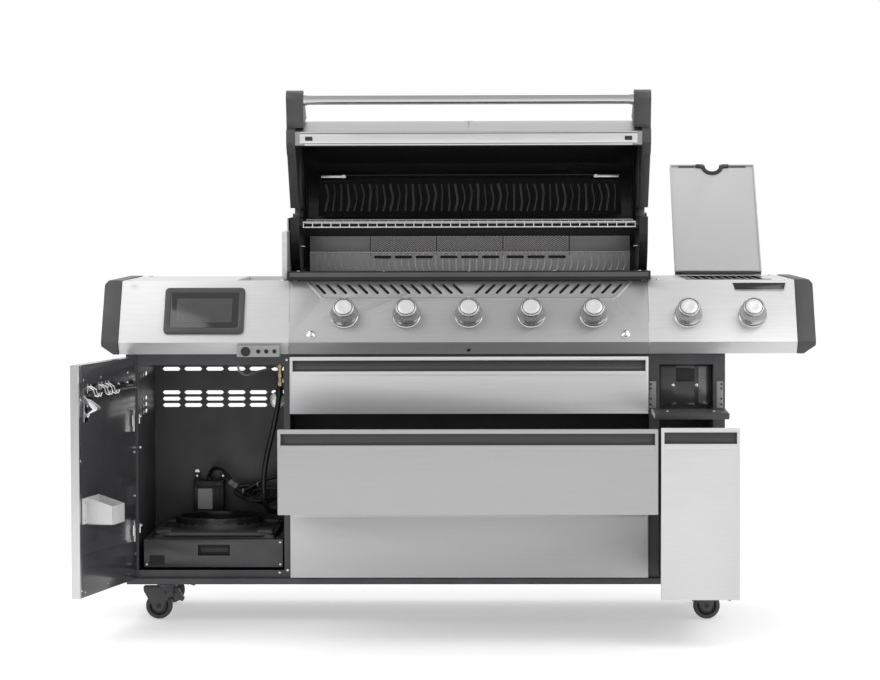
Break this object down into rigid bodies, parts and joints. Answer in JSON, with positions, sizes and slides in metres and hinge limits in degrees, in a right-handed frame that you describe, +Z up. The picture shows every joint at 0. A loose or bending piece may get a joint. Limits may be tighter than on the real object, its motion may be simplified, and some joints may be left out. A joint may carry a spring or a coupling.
{
  "type": "gas barbecue grill",
  "caption": "Gas grill cart with hinged lid, cooking grids, burner knobs, side shelves with side burner, wide drawers, cabinet door and swivel casters.",
  "frame": {"origin": "middle of the overall box on the floor, in the stored pose", "axes": "+X to the user's right along the width, +Y from the front to the back, +Z up"},
  "size_m": [1.9802, 1.268, 1.4589],
  "materials": {
    "stainless": "brushed",
    "panel_steel": "brushed, horizontal grain",
    "inner_steel": "brushed, heat tinted",
    "chrome": "polished",
    "charcoal_paint": "satin powder coat",
    "cast_grey": "painted casting, satin",
    "black_enamel": "satin enamel",
    "black_plastic": "fine texture",
    "grey_plastic": "fine texture",
    "rubber": "matte",
    "zinc": "zinc plated"
  },
  "bodies": {
    "cart": {"cabinet_frame": "charcoal_paint", "left_side_panel": "charcoal_paint", "right_side_panel": "charcoal_paint", "back_panel": "charcoal_paint", "firebox": "black_enamel", "burner_set": "inner_steel", "heat_plates": "inner_steel", "cooking_grid_1": "inner_steel", "cooking_grid_2": "inner_steel", "cooking_grid_3": "inner_steel", "rear_burner": "inner_steel", "warming_rack": "chrome", "control_panel": "panel_steel", "left_shelf": "panel_steel", "right_shelf": "panel_steel", "side_burner": "black_enamel", "left_end_cap": "grey_plastic", "right_end_cap": "grey_plastic", "display": "black_plastic", "port_module": "grey_plastic", "transformer": "black_plastic", "gas_hose": "rubber"},
    "lid": {"lid_shell": "stainless", "lid_casting_left": "cast_grey", "lid_casting_right": "cast_grey", "lid_handle": "stainless"},
    "side_lid": {"side_burner_lid": "stainless"},
    "shelf_lid": {"left_shelf_lid": "stainless"},
    "door": {"left_door": "stainless"},
    "flap": {"drop_flap": "stainless"},
    "top_drawer": {"top_drawer_front": "stainless", "top_drawer_box": "charcoal_paint"},
    "top_drawer_rails": {"top_drawer_runners": "zinc"},
    "middle_drawer": {"middle_drawer_front": "stainless", "middle_drawer_box": "charcoal_paint"},
    "middle_drawer_rails": {"middle_drawer_runners": "zinc"},
    "bottom_drawer": {"bottom_drawer_front": "stainless", "bottom_drawer_box": "charcoal_paint"},
    "bottom_drawer_rails": {"bottom_drawer_runners": "zinc"},
    "pullout": {"pullout_front": "stainless", "pullout_box": "charcoal_paint"},
    "pullout_rails": {"pullout_runners": "zinc"},
    "tray": {"tank_tray": "grey_plastic"},
    "grease_pan": {"drip_pan": "inner_steel"},
    "knob1": {"knob_1": "chrome"},
    "knob2": {"knob_2": "chrome"},
    "knob3": {"knob_3": "chrome"},
    "knob4": {"knob_4": "chrome"},
    "knob5": {"knob_5": "chrome"},
    "knob6": {"knob_6": "chrome"},
    "knob7": {"knob_7": "chrome"},
    "button": {"power_button": "black_plastic"},
    "front_left_caster": {"front_left_caster_fork": "cast_grey"},
    "front_left_caster_roller": {"front_left_caster_wheel": "rubber"},
    "rear_left_caster": {"rear_left_caster_fork": "cast_grey"},
    "rear_left_caster_roller": {"rear_left_caster_wheel": "rubber"},
    "front_right_caster": {"front_right_caster_fork": "cast_grey"},
    "front_right_caster_roller": {"front_right_caster_wheel": "rubber"},
    "rear_right_caster": {"rear_right_caster_fork": "cast_grey"},
    "rear_right_caster_roller": {"rear_right_caster_wheel": "rubber"}
  },
  "joints": [
    {"name": "lid_hinge", "type": "hinge", "parent": "cart", "child": "lid", "pos_m": [0.04413, 0.27098, 1.11], "axis": [1, 0, 0], "range_deg": [0, 50]},
    {"name": "side_lid_hinge", "type": "hinge", "parent": "cart", "child": "side_lid", "pos_m": [0.76213, 0.35598, 0.946], "axis": [1, 0, 0], "range_deg": [0, 131]},
    {"name": "shelf_lid_hinge", "type": "hinge", "parent": "cart", "child": "shelf_lid", "pos_m": [-0.47437, 0.19598, 0.938], "axis": [0, -1, 0], "range_deg": [0, 90]},
    {"name": "door_hinge", "type": "hinge", "parent": "cart", "child": "door", "pos_m": [-0.88987, -0.14202, 0.425], "axis": [0, 0, -1], "range_deg": [-103, 0]},
    {"name": "flap_hinge", "type": "hinge", "parent": "cart", "child": "flap", "pos_m": [0.64413, -0.14152, 0.5755], "axis": [-1, 0, 0], "range_deg": [0, 91]},
    {"name": "top_drawer_slide", "type": "slide", "parent": "cart", "child": "top_drawer", "axis": [0, -1, 0], "range_m": [0, 0.49]},
    {"name": "top_drawer_runner_slide", "type": "slide", "parent": "cart", "child": "top_drawer_rails", "axis": [0, -1, 0], "range_m": [0, 0.245]},
    {"name": "middle_drawer_slide", "type": "slide", "parent": "cart", "child": "middle_drawer", "axis": [0, -1, 0], "range_m": [-0.49, 0]},
    {"name": "middle_drawer_runner_slide", "type": "slide", "parent": "cart", "child": "middle_drawer_rails", "axis": [0, -1, 0], "range_m": [-0.245, 0]},
    {"name": "bottom_drawer_slide", "type": "slide", "parent": "cart", "child": "bottom_drawer", "axis": [0, -1, 0], "range_m": [0, 0.49]},
    {"name": "bottom_drawer_runner_slide", "type": "slide", "parent": "cart", "child": "bottom_drawer_rails", "axis": [0, -1, 0], "range_m": [0, 0.245]},
    {"name": "pullout_slide", "type": "slide", "parent": "cart", "child": "pullout", "axis": [0, -1, 0], "range_m": [-0.49, 0]},
    {"name": "pullout_runner_slide", "type": "slide", "parent": "cart", "child": "pullout_rails", "axis": [0, -1, 0], "range_m": [-0.245, 0]},
    {"name": "tank_tray_slide", "type": "slide", "parent": "cart", "child": "tray", "axis": [0, -1, 0], "range_m": [0, 0.4]},
    {"name": "drip_pan_slide", "type": "slide", "parent": "cart", "child": "grease_pan", "axis": [0, 1, 0], "range_m": [0, 0.36]},
    {"name": "knob_1_turn", "type": "hinge", "parent": "cart", "child": "knob1", "pos_m": [-0.29787, -0.11963, 0.83922], "axis": [0, -0.8425, 0.5388], "range_deg": [0, 240]},
    {"name": "knob_2_turn", "type": "hinge", "parent": "cart", "child": "knob2", "pos_m": [-0.12687, -0.11963, 0.83922], "axis": [0, -0.8425, 0.5388], "range_deg": [0, 240]},
    {"name": "knob_3_turn", "type": "hinge", "parent": "cart", "child": "knob3", "pos_m": [0.04413, -0.11963, 0.83922], "axis": [0, -0.8425, 0.5388], "range_deg": [0, 240]},
    {"name": "knob_4_turn", "type": "hinge", "parent": "cart", "child": "knob4", "pos_m": [0.21513, -0.11963, 0.83922], "axis": [0, -0.8425, 0.5388], "range_deg": [0, 240]},
    {"name": "knob_5_turn", "type": "hinge", "parent": "cart", "child": "knob5", "pos_m": [0.38613, -0.11963, 0.83922], "axis": [0, -0.8425, 0.5388], "range_deg": [0, 240]},
    {"name": "knob_6_turn", "type": "hinge", "parent": "cart", "child": "knob6", "pos_m": [0.64513, -0.11963, 0.83922], "axis": [0, -0.8425, 0.5388], "range_deg": [0, 240]},
    {"name": "knob_7_turn", "type": "hinge", "parent": "cart", "child": "knob7", "pos_m": [0.82113, -0.11963, 0.83922], "axis": [0, -0.8425, 0.5388], "range_deg": [0, 240]},
    {"name": "power_button_press", "type": "slide", "parent": "cart", "child": "button", "axis": [0, 1, 0], "range_m": [0, 0.0016], "stiffness_N_per_m": 300},
    {"name": "front_left_caster_swivel", "type": "hinge", "parent": "cart", "child": "front_left_caster", "pos_m": [-0.79387, -0.07402, 0.06], "axis": [0, 0, 1], "continuous": true},
    {"name": "front_left_caster_roll", "type": "hinge", "parent": "front_left_caster", "child": "front_left_caster_roller", "pos_m": [-0.81587, -0.07402, 0.037], "axis": [0, 1, 0], "continuous": true},
    {"name": "rear_left_caster_swivel", "type": "hinge", "parent": "cart", "child": "rear_left_caster", "pos_m": [-0.79387, 0.26098, 0.06], "axis": [0, 0, 1], "continuous": true},
    {"name": "rear_left_caster_roll", "type": "hinge", "parent": "rear_left_caster", "child": "rear_left_caster_roller", "pos_m": [-0.81587, 0.26098, 0.037], "axis": [0, 1, 0], "continuous": true},
    {"name": "front_right_caster_swivel", "type": "hinge", "parent": "cart", "child": "front_right_caster", "pos_m": [0.72113, -0.07402, 0.06], "axis": [0, 0, 1], "continuous": true},
    {"name": "front_right_caster_roll", "type": "hinge", "parent": "front_right_caster", "child": "front_right_caster_roller", "pos_m": [0.69913, -0.07402, 0.037], "axis": [0, 1, 0], "continuous": true},
    {"name": "rear_right_caster_swivel", "type": "hinge", "parent": "cart", "child": "rear_right_caster", "pos_m": [0.72113, 0.26098, 0.06], "axis": [0, 0, 1], "continuous": true},
    {"name": "rear_right_caster_roll", "type": "hinge", "parent": "rear_right_caster", "child": "rear_right_caster_roller", "pos_m": [0.69913, 0.26098, 0.037], "axis": [0, 1, 0], "continuous": true}
  ],
  "couplings": [
    {"joint": "top_drawer_runner_slide", "follows": "top_drawer_slide", "ratio": 0.5},
    {"joint": "middle_drawer_runner_slide", "follows": "middle_drawer_slide", "ratio": 0.5},
    {"joint": "bottom_drawer_runner_slide", "follows": "bottom_drawer_slide", "ratio": 0.5},
    {"joint": "pullout_runner_slide", "follows": "pullout_slide", "ratio": 0.5}
  ]
}
